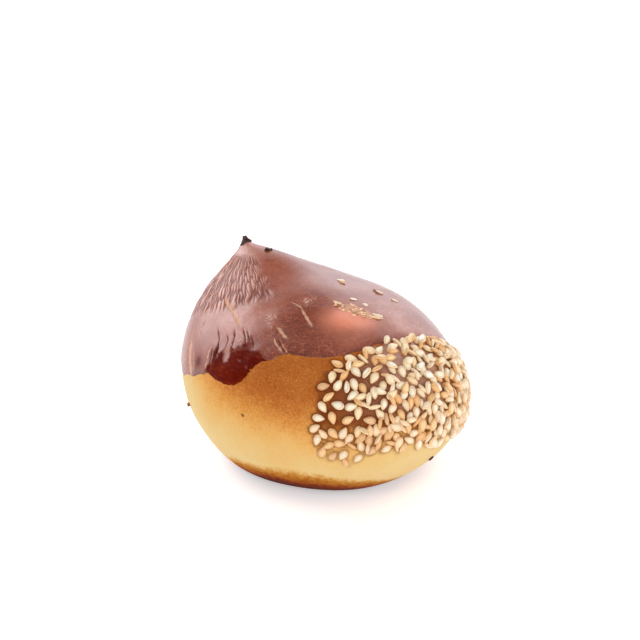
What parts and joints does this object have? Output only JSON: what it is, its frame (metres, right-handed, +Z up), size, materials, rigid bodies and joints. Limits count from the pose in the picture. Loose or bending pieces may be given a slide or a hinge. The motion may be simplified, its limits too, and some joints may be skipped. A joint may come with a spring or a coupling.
{
  "type": "chestnut manju",
  "caption": "Baked bun shaped like a chestnut: pinched to an off-centre point, brown glaze over the upper half, round end pressed into sesame seeds, flat base.",
  "frame": {"origin": "centre of the bounding box, on the surface the bun rests on", "axes": "+Z up; +X from the pinched side to the round seeded end, the longest way across; +Y to the left of +X"},
  "size_m": [0.0674, 0.058, 0.0463],
  "materials": {
    "dough": "satin",
    "glaze": "glossy",
    "sesame": "satin"
  },
  "bodies": {
    "root": {"bun": "dough"}
  },
  "joints": []
}
